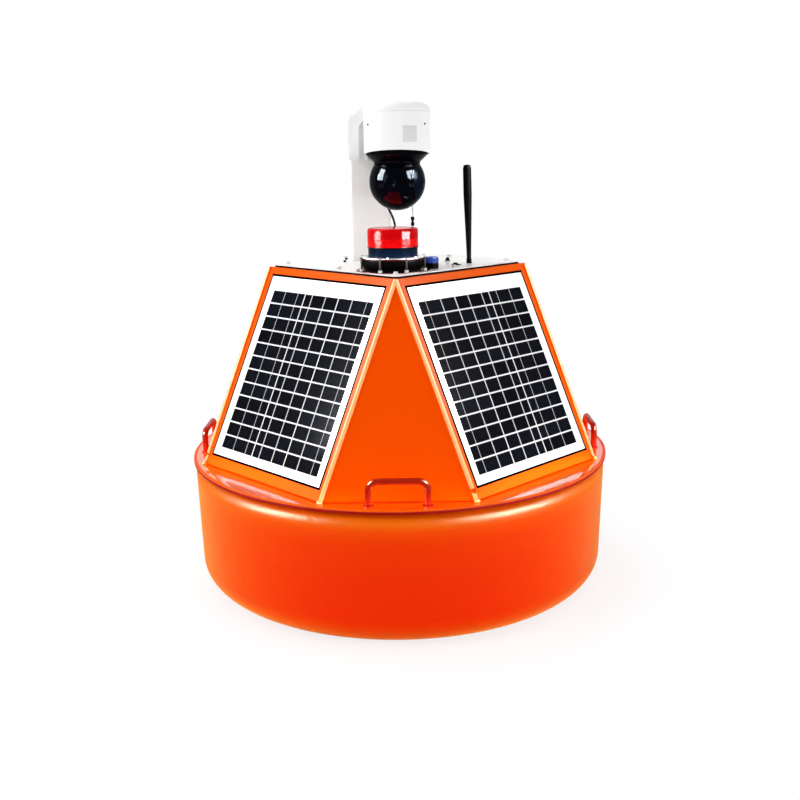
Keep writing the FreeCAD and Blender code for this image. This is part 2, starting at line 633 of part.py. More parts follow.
def make_glands_and_leads():
    top_x, top_y = CABLE_WAY[0][:2]
    low_x, low_y = CABLE_WAY[-1][:2]
    hung = turned(gland(), 180, Vector(1, 0, 0)).translated(Vector(top_x, top_y, BRACKET_Z))
    add("bracket_gland", on_plate(hung))
    lead_gland = revolved([
        (0, 0), (LEAD_GLAND_R, 0), (LEAD_GLAND_R, LEAD_GLAND_H, 2), (0, LEAD_GLAND_H)])
    add("plate_glands", on_plate(gland(), low_x, low_y), on_plate(lead_gland, LEAD_X, LEAD_Y))
    add("camera_cable", on_plate(tube_along(CABLE_WAY, CABLE_D / 2)))
    lead = disc(LEAD_D / 2, LEAD_GLAND_H, LEAD_BOSS_Z - LEAD_GLAND_H)
    add("signal_lead", on_plate(lead, LEAD_X, LEAD_Y))
    low = CONNECTOR_Z
    high = CONNECTOR_Z + CONNECTOR_L
    waist = CONNECTOR_L / 6
    middle = CONNECTOR_Z + CONNECTOR_L / 2
    add("lead_connector", on_plate(revolved([
        (LEAD_D / 2, low), (CONNECTOR_R, low, 1.5), (CONNECTOR_R, middle - waist, 1),
        (CONNECTOR_WAIST_R, middle - waist + 2), (CONNECTOR_WAIST_R, middle + waist - 2),
        (CONNECTOR_R, middle + waist, 1), (CONNECTOR_R, high, 1.5), (LEAD_D / 2, high)]), LEAD_X, LEAD_Y))


# ---- build and write -------------------------------------------------------------------------------
make_float()
make_mooring()
make_well()
make_sonde()
make_cabin()
make_panels()
make_handles()
make_mast()
make_bracket()
make_housing()
make_camera_head()
make_lantern()
make_antenna()
make_socket()
make_glands_and_leads()

os.makedirs("parts", exist_ok=True)
for name, shape in nodes.items():
    solids = shape.Solids
    volume = shape.Volume / 1000
    print("%-28s solids %d valid %s volume %.1f cm3" % (name, len(solids), shape.isValid(), volume))
    shape.exportStep("parts/%s.step" % name)
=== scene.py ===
"""Water quality monitoring buoy: finishes, fine detail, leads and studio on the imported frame."""
import json
from functools import partial, partialmethod
from math import cos, pi, radians, sin

import bmesh
import bpy
from mathutils import Matrix, Vector


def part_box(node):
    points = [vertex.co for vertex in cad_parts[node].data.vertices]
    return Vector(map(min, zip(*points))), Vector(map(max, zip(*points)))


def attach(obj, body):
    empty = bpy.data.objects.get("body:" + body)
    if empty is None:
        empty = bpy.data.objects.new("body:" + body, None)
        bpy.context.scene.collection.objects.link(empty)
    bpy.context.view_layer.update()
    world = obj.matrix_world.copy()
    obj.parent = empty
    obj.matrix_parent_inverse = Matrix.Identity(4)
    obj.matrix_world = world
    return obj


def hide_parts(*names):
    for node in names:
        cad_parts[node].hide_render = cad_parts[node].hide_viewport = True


bl_info = {
    "name": "Monitoring buoy",
    "version": (1, 0, 0),
    "blender": (4, 5, 0),
    "location": "View3D > Sidebar > Buoy",
    "description": "Finishes and fine detail of a water quality monitoring buoy",
    "category": "Object",
}

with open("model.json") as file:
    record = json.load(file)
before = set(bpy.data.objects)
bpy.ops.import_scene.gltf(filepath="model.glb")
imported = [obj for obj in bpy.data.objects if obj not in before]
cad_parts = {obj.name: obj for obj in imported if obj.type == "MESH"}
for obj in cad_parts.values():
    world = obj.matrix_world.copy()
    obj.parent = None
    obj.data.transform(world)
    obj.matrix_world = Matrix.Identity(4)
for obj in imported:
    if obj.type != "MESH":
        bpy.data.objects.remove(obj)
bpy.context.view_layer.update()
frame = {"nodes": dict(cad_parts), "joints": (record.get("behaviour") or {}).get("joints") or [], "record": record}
NODES = frame["nodes"]
UP = Vector((0, 0, 1))
FACES = ("front_right", "back_right", "back_left", "front_left")
SIDES = ("front", "right", "back", "left")
JOINTS = {joint["name"]: joint for joint in frame["joints"]}
PAN = Vector(JOINTS["camera_pan"]["pos_m"])
ACROSS = Vector(JOINTS["camera_tilt"]["axis"])
AHEAD = Vector((ACROSS.y, -ACROSS.x, 0))
QUARTERS = [Matrix.Rotation(quarter * pi / 2, 4, "Z") for quarter in range(4)]
CORNERS = ((-1, -1), (1, -1), (1, 1), (-1, 1))


def middle(node):
    """The centre of a node's box."""
    low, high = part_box(node)
    return (low + high) / 2


def heights(node):
    """How low and how high a node reaches."""
    return [corner.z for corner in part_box(node)]


DECK = heights("deck_plate")[1]
PLATE = heights("top_plate")[1]


# ---- settings -----------------------------------------------------------------------------------
def colour(name, description, value):
    return bpy.props.FloatVectorProperty(
        name=name, description=description, subtype="COLOR", size=3, min=0, max=1, default=value)


def length(name, description, value):
    return bpy.props.FloatProperty(
        name=name, description=description, unit="LENGTH", min=0, precision=4, default=value)


class BuoyColours(bpy.types.PropertyGroup):
    """Paint and plastic colours."""
    coat: colour("Float coat", "Sprayed coat on the float", (0.79, 0.003, 0.0))
    # Painted light: the paler, more orange tone of the float's coat up at its lit shoulder.
    painted_light: colour("Coat with painted light", "Float coat where light is painted on the shoulder", (0.95, 0.15, 0.002))
    deck: colour("Deck coat", "Coat on the deck", (0.84, 0.10, 0.001))
    cabin: colour("Cabin paint", "Paint on the cabin", (0.87, 0.073, 0.0))
    # Painted light: the lighter tone of the cabin faces that carry the solar panels.
    frame: colour("Cabin paint with painted light", "Cabin paint painted lighter round the solar panels", (0.88, 0.105, 0.002))
    handle: colour("Handle paint", "Paint on the lifting handles", (0.34, 0.009, 0.001))
    lens: colour("Lantern lens", "Red lens of the lantern", (0.66, 0.002, 0.003))
    cap: colour("Socket cap", "Blue cap of the service socket", (0.03, 0.09, 0.50))
    mast: colour("Mast paint", "Pale paint on the mast", (0.84, 0.83, 0.81))


class BuoySizes(bpy.types.PropertyGroup):
    """Sizes of the fine detail."""
    column_gap: length("Column gap", "White line between two columns of cells", 0.0042)
    row_gap: length("Row gap", "White line between two rows of cells", 0.0040)
    ribbon: length("Ribbon", "Width of the silver ribbon across a cell", 0.0026)
    cable: length("Camera cable", "Diameter of the camera's cable", 0.006)
    lead: length("Signal lead", "Diameter of the signal lead", 0.003)


class BuoySettings(bpy.types.PropertyGroup):
    """Everything a user may change."""
    colours: bpy.props.PointerProperty(
        name="Colours", description="Colours of the finishes", type=BuoyColours)
    sizes: bpy.props.PointerProperty(
        name="Sizes", description="Sizes of the fine detail", type=BuoySizes)


def settings():
    return bpy.context.scene.buoy


# ---- finishes -----------------------------------------------------------------------------------
class Value:
    """A node's output; sums on it add Math nodes to its tree."""

    def __init__(self, nodes, socket):
        self.nodes, self.socket = nodes, socket

    def output(self, name):
        """Another output of the same node."""
        return Value(self.nodes, self.socket.node.outputs[name])

    def maths(self, operation, *others):
        return self.nodes.maths(operation, self, *others)

    def __rsub__(self, other):
        return self.nodes.maths("SUBTRACT", other, self)

    __add__ = __radd__ = partialmethod(maths, "ADD")
    __sub__ = partialmethod(maths, "SUBTRACT")
    __mul__ = partialmethod(maths, "MULTIPLY")
    __truediv__ = partialmethod(maths, "DIVIDE")
    __lt__ = partialmethod(maths, "LESS_THAN")
    __abs__ = partialmethod(maths, "ABSOLUTE")
    root = partialmethod(maths, "SQRT")
    floor = partialmethod(maths, "FLOOR")
    after_point = partialmethod(maths, "FRACT")
    at_most = partialmethod(maths, "MINIMUM")
    at_least = partialmethod(maths, "MAXIMUM")


class Nodes:
    """A node tree and short ways to add to it."""

    def __init__(self, tree):
        self.tree = tree

    def join(self, socket, value):
        if isinstance(value, Value):
            self.tree.links.new(value.socket, socket)
        elif socket.type == "RGBA":
            socket.default_value = (*value, 1)
        else:
            socket.default_value = value

    def node(self, kind, choices=None, inputs=None, output=0):
        """Add a node: its choices are set first, then its sockets' values or links."""
        made = self.tree.nodes.new(kind)
        for name, choice in (choices or {}).items():
            if name == "stops":
                self.set_stops(made.color_ramp, choice)
            else:
                setattr(made, name, choice)
        for name, value in (inputs or {}).items():
            self.join(made.inputs[name], value)
        return Value(self, made.outputs[output])

    def maths(self, operation, *values):
        return self.node("ShaderNodeMath", {"operation": operation}, dict(enumerate(values)))

    @staticmethod
    def set_stops(ramp, stops):
        ramp.elements[0].position, ramp.elements[-1].position = stops[0][0], stops[-1][0]
        for stop in stops[1:-1]:
            ramp.elements.new(stop[0])
        for element, (_, tone) in zip(ramp.elements, stops):
            element.color = (*tone, 1) if isinstance(tone, tuple) else (tone, tone, tone, 1)

    def smooth_step(self, value, start, end, first, last):
        return self.node("ShaderNodeMapRange", {"interpolation_type": "SMOOTHSTEP"}, {
            "Value": value, "From Min": start, "From Max": end, "To Min": first, "To Max": last})

    def blend(self, factor, first, second, end):
        """Join a mix of two shaders to the tree's end."""
        mixed = self.node("ShaderNodeMixShader", None, {0: factor, 1: first, 2: second})
        self.join(end.inputs["Surface"], mixed)

    def seen(self):
        """1 on rays from the eye, from a reflection and through a clear piece."""
        seen = self.node("ShaderNodeLightPath", None, None, "Is Camera Ray")
        glossy, through = seen.output("Is Glossy Ray"), seen.output("Is Transmission Ray")
        return seen.at_least(glossy).at_least(through)


class Finish(Nodes):
    """One material: a Principled shader and the nodes that feed it."""

    def __init__(self, name, tone, roughness=0.5, gloss=0.5, **sockets):
        self.material = bpy.data.materials.new(name)
        self.material.use_nodes = True
        super().__init__(self.material.node_tree)
        self.shader = self.tree.nodes["Principled BSDF"]
        self.set(Base_Color=tone, Roughness=roughness, Specular_IOR_Level=gloss, **sockets)
        self.place = self.node("ShaderNodeTexCoord", output="Object")

    def set(self, **sockets):
        for name, value in sockets.items():
            self.join(self.shader.inputs[name.replace("_", " ")], value)

    def noise(self, scale, detail=2.0, place=None, roughness=0.5):
        return self.node("ShaderNodeTexNoise", None, {
            "Vector": place or self.place, "Scale": scale, "Detail": detail,
            "Roughness": roughness})

    def ramp(self, value, *stops, hard=False):
        """The value through a ramp of (position, tone) stops."""
        made = self.node("ShaderNodeValToRGB", {"stops": stops}, {"Fac": value})
        if hard:
            made.socket.node.color_ramp.interpolation = "CONSTANT"
        return made

    def mix(self, factor, first, second):
        inputs = {0: factor, 6: first, 7: second}
        return self.node("ShaderNodeMix", {"data_type": "RGBA"}, inputs, 2)

    def bump(self, height, depth):
        """Raise the surface by a height, on top of any bump it has."""
        inputs = {"Height": height, "Distance": depth, "Strength": 1.0}
        under = self.shader.inputs["Normal"]
        if under.is_linked:
            inputs["Normal"] = Value(self, under.links[0].from_socket)
        self.set(Normal=self.node("ShaderNodeBump", None, inputs))
        return self

    def parts(self, place=None):
        """The X, Y and Z of a place."""
        made = self.node("ShaderNodeSeparateXYZ", None, {"Vector": place or self.place})
        return [made.output(axis) for axis in "XYZ"]


WARM = (1.0, 0.74, 0.50)
COOL = (0.7, 0.86, 1.0)
DULL = (0.6, 0.02, 0.0)


def setting(name):
    """A colour setting as a plain tuple."""
    return tuple(getattr(settings().colours, name))


def shade(tone, factor):
    return tuple(min(1.0, channel * factor) for channel in tone)


def orange_peel(finish, tone, grain, depth, drift=0.06):
    """Sprayed paint: slow drift of tone and a fine pebbled surface."""
    cloud = finish.ramp(finish.noise(4.0, 3.0), (0.3, 0.0), (0.7, drift))
    finish.set(Base_Color=finish.mix(cloud, tone, DULL))
    pebble = finish.noise(grain, 3.0) + finish.noise(grain / 9, 2.0) * 2
    return finish.bump(pebble, depth)


def sprayed(name, tone, roughness, gloss, depth=0.0001, drift=0.06):
    """Sprayed paint of one tone; a string names a colour setting."""
    tone = setting(tone) if isinstance(tone, str) else tone
    finish = Finish(name, tone, roughness, gloss, Specular_Tint=WARM)
    return orange_peel(finish, tone, 300.0, depth, drift)


def powder(name, tone, roughness, gloss=0.5, grain=700.0, depth=0.0001, **sockets):
    """Powder coat or moulded plastic with a fine even grain; a string names a colour setting."""
    tone = setting(tone) if isinstance(tone, str) else tone
    finish = Finish(name, tone, roughness, gloss, **sockets)
    darker, lighter = (0.35, shade(tone, 0.95)), (0.65, shade(tone, 1.04))
    finish.set(Base_Color=finish.ramp(finish.noise(grain, 2.0), darker, lighter))
    return finish.bump(finish.noise(grain, 3.0), depth)


def brushed(name, tone, roughness):
    """Brushed metal with fine streaks round the vertical axis."""
    finish = Finish(name, tone, roughness, Metallic=1.0)
    stretched = {"Vector": finish.place, "Scale": (30, 30, 900)}
    streak = finish.noise(1.0, 3.0, finish.node("ShaderNodeMapping", None, stretched))
    finish.set(Base_Color=finish.mix(streak, shade(tone, 0.8), shade(tone, 1.15)),
               Roughness=roughness - 0.08 + streak * 0.16)
    return finish.bump(streak, 0.0001)


def float_coat():
    """Sprayed coat, a little scuffed, painted paler as painted light up towards the shoulder and with a painted
    shade in a band under the deck's lip.
    """
    finish = Finish("float coat", setting("coat"), 0.33, 0.035, Specular_Tint=WARM,
                    Sheen_Weight=1.0, Sheen_Roughness=0.53, Sheen_Tint=(1.0, 0.43, 0.0))
    height = finish.parts()[2]
    finish.bump(finish.smooth_step(height, 0.316, 0.368, 1.0, 0.0), 0.016)
    # Painted light: the coat turns paler and more orange up towards the shoulder, where light falls from above,
    # and stays darker towards the bottom.
    painted_lit_shoulder = finish.ramp(height, (0.10, 0.0), (0.18, 0.02), (0.28, 0.10), (0.305, 0.22), (0.318, 0.33),
                      (0.327, 0.58), (0.338, 1.0))
    # Painted shade: a darker band of the coat just under the deck's lip, where the lip's shadow falls.
    painted_lip_shade = finish.ramp(height, (0.351, 0.0), (0.363, 1.0))
    tone = finish.mix(painted_lit_shoulder, setting("coat"), setting("painted_light"))
    orange_peel(finish, finish.mix(painted_lip_shade, tone, (0.62, 0.020, 0.0)), 160.0, 0.0006)
    scuffs = finish.ramp(finish.noise(55.0, 6.0, roughness=0.75), (0.62, 0.33), (0.75, 0.50))
    finish.set(Roughness=scuffs)
    return finish


def deck_coat():
    """Thick glossy coat on the deck, not quite level across it."""
    finish = Finish("deck coat", setting("deck"), 0.06, IOR=2.5,
                    Coat_Weight=0.25, Coat_Roughness=0.06)
    x, y, _ = finish.parts()
    away = (x * x + y * y).root()
    finish.bump((1.0 - away) * (0.60 - x), 0.058)
    return orange_peel(finish, setting("deck"), 40.0, 0.0004)


def cabin_paint():
    """Cabin paint, painted lighter on the faces that carry the panels, where more light falls on them."""
    finish = Finish("cabin paint", setting("cabin"), 0.24, 0.006, Specular_Tint=WARM)
    x, y, _ = finish.parts()
    beside = abs(x).at_least(abs(y)) - abs(x).at_most(abs(y))
    # Painted light: the paint is made lighter on the faces round the panels, which lean up into the light.
    painted_light = finish.ramp(beside, (0.340, 1.0), (0.356, 0.0))
    tone = finish.mix(painted_light, setting("cabin"), setting("frame"))
    return orange_peel(finish, tone, 420.0, 0.0001, 0.05)


def panel_white():
    """Glossy white border of a laminate, faintly woven."""
    finish = Finish("laminate border", (0.9, 0.91, 0.92), 0.2, Coat_Weight=0.4, Coat_Roughness=0.05)
    darker, lighter = (0.3, (0.86, 0.87, 0.88)), (0.7, (0.93, 0.94, 0.95))
    finish.set(Base_Color=finish.ramp(finish.noise(900.0, 2.0), darker, lighter))
    return finish


def black_seal():
    """Uneven matt black sealant."""
    finish = Finish("black sealant", (0.002, 0.0015, 0.0015), 0.5, 0.0)
    return finish.bump(finish.noise(220.0, 3.0), 0.0004)


def lantern_red():
    """Red lens, drafted in its upper half and ribbed below."""
    finish = powder("lantern lens", "lens", 0.10, 0.012, 300.0, 0.00005)
    low, high = heights("lantern_lens")
    height = (finish.parts()[2] - low) / (high - low)
    upper = finish.ramp(height, (0.45, 1.0), (0.95, 0.0))
    ribs = abs((height * 9.0).after_point() - 0.5) * (height < 0.45)
    return finish.bump(upper + ribs * 0.25, 0.010)


# The record's slots, then the finishes that only pieces of detail have.  Each plain one gives its
# name, tone, roughness and gloss, then its grain and depth, or for paint its depth and drift.
FINISHES = {
    "float_coat": float_coat, "deck_coat": deck_coat, "cabin_paint": cabin_paint,
    "panel_white": panel_white, "black_seal": black_seal, "lantern_red": lantern_red,
    "handle_paint": partial(sprayed, "handle paint", "handle", 0.13, 0.08, 0.00015, 0.1),
    "plate_white": partial(powder, "top plate paint", (0.90, 0.89, 0.87), 0.1, 0.02),
    "mast_paint": partial(powder, "mast paint", "mast", 0.5, 0.0, 500.0),
    "camera_white": partial(powder, "camera white", (0.86, 0.865, 0.87), 0.35, 0.003, 900.0, 0.00005),
    "camera_black": partial(powder, "gloss black", (0.001, 0.001, 0.002), 0.08, 0.016, 500.0, 0.00001,
                            Specular_Tint=COOL),
    "camera_glass": partial(powder, "camera window", (0.001, 0.001, 0.003), 0.04, 0.016, 900.0, 0.0,
                            Specular_Tint=COOL),
    "lantern_grey": partial(powder, "lantern body", (0.0015, 0.004, 0.011), 0.2, 0.008, 600.0,
                            Specular_Tint=COOL),
    "bright_steel": partial(powder, "bright steel", (0.32, 0.32, 0.34), 0.25, 0.5, 400.0, 0.00002,
                            Metallic=1.0),
    "black_plastic": partial(powder, "black plastic", (0.0025, 0.002, 0.002), 0.3, 0.008),
    "cap_blue": partial(powder, "blue plastic", "cap", 0.25, 0.1, 600.0),
    "black_rubber": partial(powder, "black rubber", (0.002, 0.002, 0.0022), 0.45, 0.006, 500.0, 0.0002),
    "light_lead": partial(powder, "light sheath", (0.68, 0.68, 0.69), 0.5, 0.0),
    "stainless": partial(brushed, "brushed stainless", (0.60, 0.60, 0.61), 0.34),
    "sonde_plastic": partial(powder, "sonde plastic", (0.03, 0.033, 0.038), 0.4),
    "battery_case": partial(powder, "battery case", (0.06, 0.065, 0.07), 0.55),
    "edge_paint": partial(sprayed, "edge paint", (0.86, 0.105, 0.002), 0.36, 0.015),
    # Painted highlight: a pale cream tone for the corner beads, standing in for the bright line of light along
    # them.
    "bead_paint": partial(sprayed, "bead paint", (0.94, 0.44, 0.15), 0.36, 0.04),
    # Painted shade: a darker red for the bead round the cabin's foot, where shade falls in the crease against the
    # deck.
    "foot_paint": partial(sprayed, "foot paint", (0.60, 0.030, 0.0), 0.36, 0.0),
    # Painted shade: dark red for the band over the deck lip's lower edge, where the lip's shadow falls; it also
    # colours the seal under the deck.
    "joint_seal": partial(powder, "joint sealant", (0.34, 0.002, 0.0), 0.6, 0.02, 300.0, 0.0003),
    # Painted shade: dark maroon for the ring on the top plate round the lantern's foot, and for the band over the
    # flange's side.
    "gasket": partial(powder, "moulded gasket", (0.07, 0.004, 0.002), 0.25, 0.1, 300.0, 0.0002),
    "dull_steel": partial(powder, "dull steel", (0.05, 0.045, 0.045), 0.4, 0.05, 500.0),
}
made_finishes = {}


def material(slot):
    """The material of a slot, made once."""
    if slot not in made_finishes:
        made_finishes[slot] = FINISHES[slot]().material
    return made_finishes[slot]


def dress(node, finish):
    """Put a finish on a node of the frame."""
    for holder in NODES[node].material_slots:
        holder.material = finish


# ---- solar cells --------------------------------------------------------------------------------
COLUMNS = 3
ROWS = 12
# Where the two ribbons of each column lie across its width.
RIBBONS = ((0.375, 0.775), (0.225, 0.62), (0.40, 0.80))
FINGER_PITCH = 0.0021
SILVER = (0.5, 0.5, 0.52)
RIBBON_TONE = (0.62, 0.64, 0.67)
BACKING_WHITE = (0.86, 0.87, 0.89)


def sheet_plane(node):
    """A flat sheet's outward normal, its across and upward directions, lowest corner and size."""
    mesh = NODES[node].data
    outer = max((face for face in mesh.polygons if face.normal.z > 0.1), key=lambda face: face.area)
    normal = outer.normal.copy()
    across = UP.cross(normal).normalized()
    upward = normal.cross(across)
    places = [vertex.co for vertex in mesh.vertices]
    spans = [[place.dot(way) for place in places] for way in (across, upward, normal)]
    corner = across * min(spans[0]) + upward * min(spans[1]) + normal * max(spans[2])
    wide, high = (max(span) - min(span) for span in spans[:2])
    return normal, across, upward, corner, wide, high


def line_stops(centres, width, full):
    """Hard ramp stops for lines of one width along a full length."""
    stops = [(0.0, 0.0)]
    for centre in sorted(centres):
        stops += [((centre - width / 2) / full, 1.0), ((centre + width / 2) / full, 0.0)]
    return stops


def cell_finish(face, mirrored):
    """Near-black cells in three columns, ribbons down them and white lines between."""
    sizes = settings().sizes
    normal, across, upward, corner, wide, high = sheet_plane("solar_cells_" + face)
    turn = Matrix((across, upward, normal))
    finish = Finish("solar cells " + face, (0.002, 0.003, 0.006), 0.12, 0.004)
    laid = finish.node("ShaderNodeMapping", {"vector_type": "POINT"}, {
        "Vector": finish.place, "Location": -(turn @ corner), "Rotation": turn.to_euler()})
    u, v, _ = finish.parts(laid)
    pitch = wide / COLUMNS
    rise = high / ROWS
    ribbons = [(column + offset) * pitch for column, pair in enumerate(RIBBONS) for offset in pair]
    if mirrored:
        ribbons = [wide - place for place in ribbons]
    ribbon = finish.ramp(u / wide, *line_stops(ribbons, sizes.ribbon, wide), hard=True)
    gaps = [column * pitch for column in range(1, COLUMNS)]
    column = finish.ramp(u / wide, *line_stops(gaps, sizes.column_gap, wide), hard=True)
    row = abs((v / rise + 0.5).after_point() - 0.5) < sizes.row_gap / 2 / rise
    which = finish.node("ShaderNodeCombineXYZ", None, {
        0: (u / pitch).floor(), 1: (v / rise).floor()})
    chance = finish.node("ShaderNodeTexWhiteNoise", {"noise_dimensions": "3D"}, {"Vector": which})
    cell = finish.mix(chance, (0.0015, 0.0018, 0.003), (0.004, 0.005, 0.009))
    fingers = (v / FINGER_PITCH).after_point() < 0.06
    cell = finish.mix(fingers * 0.05, cell, SILVER)
    tone = finish.mix(ribbon, cell, RIBBON_TONE)
    finish.set(Base_Color=finish.mix(column.at_least(row), tone, BACKING_WHITE))
    return finish.material


# ---- shapes -------------------------------------------------------------------------------------
ROUNDING_ANGLE = radians(40)
SHARP_ANGLE = radians(35)
WELD_R = 0.003


def revolve(profile, steps=48, closed=False):
    """Spin a profile of (radius, height) points about the upright axis."""
    shape = bmesh.new()
    points = [shape.verts.new((radius, 0, height)) for radius, height in profile]
    pairs = list(zip(points, points[1:])) + ([(points[-1], points[0])] if closed else [])
    edges = [shape.edges.new(pair) for pair in pairs]
    bmesh.ops.spin(shape, geom=points + edges, cent=(0, 0, 0), axis=UP, angle=2 * pi, steps=steps,
                   use_merge=True, use_duplicate=False)
    bmesh.ops.remove_doubles(shape, verts=shape.verts, dist=1e-6)
    return shape


def hoop(radius, thickness, height=0.0, steps=64, around=10):
    """A closed round ring lying flat."""
    turns = [2 * pi * index / around for index in range(around)]
    section = [(radius + thickness * cos(turn), height + thickness * sin(turn)) for turn in turns]
    return revolve(section, steps, True)


def band(inner, outer, low, high, steps=64, edge=0.0004):
    """A flat-sided ring with softened edges."""
    section = [(inner, low), (outer, low), (outer, high), (inner, high)]
    return rounded(revolve(section, steps, True), edge)


def puck(radius, low, high, steps=32, edge=0.0006):
    """A short solid round with softened edges."""
    return rounded(revolve([(0, low), (radius, low), (radius, high), (0, high)], steps), edge)


def prism(sides, radius, low, high, edge=0.0006):
    """An upright prism with softened edges."""
    shape = bmesh.new()
    bmesh.ops.create_cone(shape, cap_ends=True, segments=sides, radius1=radius, radius2=radius,
                          depth=high - low, matrix=Matrix.Translation((0, 0, (low + high) / 2)))
    return rounded(shape, edge)


def slab(width, depth, height, edge=0.0008, segments=2):
    """A block standing on the origin with softened edges."""
    shape = bmesh.new()
    bmesh.ops.create_cube(shape, size=1.0, matrix=Matrix.Diagonal((width, depth, height, 1)))
    bmesh.ops.translate(shape, verts=shape.verts, vec=(0, 0, height / 2))
    return rounded(shape, edge, segments)


def rounded(shape, width, segments=2):
    """Soften every edge that turns more than the rounding angle."""
    bmesh.ops.recalc_face_normals(shape, faces=shape.faces)
    edges = [edge for edge in shape.edges
             if len(edge.link_faces) == 2 and edge.calc_face_angle(0) > ROUNDING_ANGLE]
    bmesh.ops.bevel(shape, geom=edges, offset=width, segments=segments, profile=0.5, affect="EDGES",
                    material=-1, clamp_overlap=True)
    return shape


def gather(shapes):
    """Join shapes into one and free them."""
    whole = bmesh.new()
    for shape in shapes:
        mesh = bpy.data.meshes.new("part")
        shape.to_mesh(mesh)
        shape.free()
        whole.from_mesh(mesh)
        bpy.data.meshes.remove(mesh)
    return whole


def shift(x, y, z=0.0):
    return Matrix.Translation((x, y, z))


def stand(place, facing=UP, spin=0.0):
    """The transform that stands a shape at a place, its top towards a direction."""
    turn = Vector(facing).to_track_quat("Z", "Y").to_matrix().to_4x4()
    return Matrix.Translation(place) @ turn @ Matrix.Rotation(spin, 4, "Z")


def put(shape, matrix):
    bmesh.ops.transform(shape, matrix=matrix, verts=shape.verts)
    return shape


def copies(make, matrices, *sizes):
    """One shape made of a fresh copy at every transform."""
    return gather([put(make(*sizes), matrix) for matrix in matrices])


def orbit(centre, radius, angles, height, facing=UP):
    """Transforms round a centre at angles in degrees."""
    made = []
    for turn in (radians(angle) for angle in angles):
        place = (centre[0] + radius * cos(turn), centre[1] + radius * sin(turn), height)
        made.append(stand(place, facing, turn))
    return made


def outward(centre, radius, angles, height):
    """Transforms on an upright round wall, each facing out."""
    made = []
    for angle in angles:
        way = Vector((cos(radians(angle)), sin(radians(angle)), 0))
        made.append(stand(Vector((centre[0], centre[1], height)) + way * radius, way))
    return made


def hex_bolt(size):
    """A hexagon head on a washer, for a thread of the given size."""
    return gather([puck(size * 1.05, 0, size * 0.18, 24, 0.0003),
                   prism(6, size * 0.93, size * 0.16, size * 0.8, 0.0005)])


def socket_screw(size):
    """A round head with a hexagon socket sunk in it."""
    outer, inner, floor = size * 0.8, size * 0.45, size * 0.35
    head = revolve([(inner, floor), (inner, size), (outer, size), (outer, 0), (0, 0)], 24)
    return gather([rounded(head, 0.0003), prism(6, size * 0.5, 0, size * 0.4, 0.0001)])


def round_curve(name, kind, places, radius, sides):
    """A curve with a round section, and its one spline of the kind POLY or NURBS."""
    curve = bpy.data.curves.new(name, "CURVE")
    curve.dimensions = "3D"
    spline = curve.splines.new(kind)
    spline.points.add(len(places) - 1)
    for point, place in zip(spline.points, places):
        point.co = (*place, 1)
    curve.bevel_depth = radius
    curve.bevel_resolution = sides
    curve.use_fill_caps = True
    return curve, spline


def swept(points, radius, closed=True):
    """A round bead along straight runs."""
    curve, spline = round_curve("path", "POLY", points, radius, 4)
    spline.use_cyclic_u = closed
    holder = bpy.data.objects.new("path", curve)
    mesh = bpy.data.meshes.new_from_object(holder)
    shape = bmesh.new()
    shape.from_mesh(mesh)
    bpy.data.objects.remove(holder)
    bpy.data.meshes.remove(mesh)
    bpy.data.curves.remove(curve)
    return shape


def weld_round(half_w, half_d):
    """A weld bead round an upright rectangular foot."""
    return swept([Vector((x * half_w, y * half_d, 0)) for x, y in CORNERS], WELD_R)


def arc_pad(radius, low, high, start, sweep, thickness):
    """A thin pad that follows an upright round wall."""
    shape = bmesh.new()
    turn = Matrix.Rotation(radians(start), 4, "Z")
    ends = [shape.verts.new(turn @ Vector((radius, 0, height))) for height in (low, high)]
    line = shape.edges.new(ends)
    bmesh.ops.spin(shape, geom=[*ends, line], cent=(0, 0, 0), axis=UP, angle=radians(sweep),
                   steps=10)
    bmesh.ops.recalc_face_normals(shape, faces=shape.faces)
    bmesh.ops.solidify(shape, geom=shape.faces[:], thickness=thickness)
    mean_r = sum(vert.co.xy.length for vert in shape.verts) / len(shape.verts)
    if mean_r < radius:
        wider = (radius + thickness) / radius
        bmesh.ops.scale(shape, vec=(wider, wider, 1), verts=shape.verts)
    return rounded(shape, 0.0004)


def show(name, data, slot, body, finish=None):
    """Put a mesh or curve in the scene as a named piece that rides on a body."""
    data.materials.append(material(finish or slot))
    made = bpy.data.objects.new(name, data)
    bpy.context.scene.collection.objects.link(made)
    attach(made, body)
    return made


def add_piece(name, slot, shape, body="buoy", finish=None):
    """Make a bmesh into a piece; a finish of its own stands in for its slot's."""
    bmesh.ops.remove_doubles(shape, verts=shape.verts, dist=1e-6)
    bmesh.ops.recalc_face_normals(shape, faces=shape.faces)
    mesh = bpy.data.meshes.new(name)
    shape.to_mesh(mesh)
    shape.free()
    mesh.shade_smooth()
    mesh.set_sharp_from_angle(angle=SHARP_ANGLE)
    return show(name, mesh, slot, body, finish)


# ---- leads --------------------------------------------------------------------------------------
CABLE_WAY = ((-49, -31, 266), (-49, -31, 236), (-44, -35, 205), (-33, -43, 176), (-19, -52, 150),
             (-9, -55, 130), (-3, -57, 111), (-1, -58, 88), (1, -60, 55), (1, -60, 17))
LEAD_WAY = ((46.4, -29.6, 320), (46.4, -29.6, 230), (46.4, -29.6, 110), (46.4, -29.6, 12))


def lead_curve(name, slot, way, diameter):
    """A smooth round lead through points given in millimetres above the top plate."""
    places = [above_plate(point) for point in way]
    curve, spline = round_curve(name, "NURBS", places, diameter / 2, 5)
    spline.order_u = 3
    spline.use_endpoint_u = True
    spline.resolution_u = 16
    return show(name, curve, slot, "buoy")


def above_plate(point):
    """A point in millimetres above the top plate, as a place in metres."""
    x, y, z = point
    return (x / 1000, y / 1000, PLATE + z / 1000)


